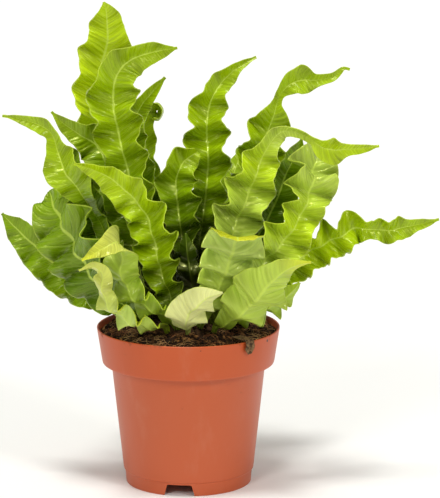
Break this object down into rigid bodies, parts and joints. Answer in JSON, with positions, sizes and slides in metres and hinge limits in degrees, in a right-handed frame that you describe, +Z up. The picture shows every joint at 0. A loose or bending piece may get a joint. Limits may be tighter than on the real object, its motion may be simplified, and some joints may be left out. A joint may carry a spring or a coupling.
{
  "type": "potted fern",
  "caption": "Living fern with tall crisped, wave-edged strap fronds in a tapered thin-walled nursery pot filled with peat.",
  "frame": {"origin": "centre of the circle that the pot stands on, at the level of the table", "axes": "+Z up, -Y to the front of the plant, +X to its right-hand side seen from the front"},
  "size_m": [0.2861, 0.1696, 0.3123],
  "materials": {
    "pot_plastic": "thin terracotta-coloured plastic, satin",
    "peat": "moist fibrous peat, matt",
    "rootstock": "scaly dark brown rootstock, matt",
    "leaf": "smooth living frond, satin gloss, bright green above and paler below"
  },
  "bodies": {
    "root": {"pot": "pot_plastic", "soil": "peat", "crown": "rootstock", "frond_tall_left": "leaf", "frond_bent_tip": "leaf", "frond_left_point": "leaf", "frond_lime_arch": "leaf", "frond_far_left": "leaf", "frond_left_inner": "leaf", "frond_left_wide": "leaf", "frond_left_low": "leaf", "frond_front_left": "leaf", "frond_rim_left": "leaf", "frond_young_front": "leaf", "frond_tall_centre": "leaf", "frond_centre_left": "leaf", "frond_right_twist": "leaf", "frond_right_ball": "leaf", "frond_right_back": "leaf", "frond_right_face": "leaf", "frond_far_right": "leaf", "frond_front_fold": "leaf", "frond_front_right": "leaf", "frond_low_right": "leaf", "frond_spike_tip": "leaf", "frond_coil_tip": "leaf", "frond_inner_small": "leaf", "frond_back_right": "leaf", "frond_back": "leaf", "frond_back_left": "leaf"}
  },
  "joints": []
}
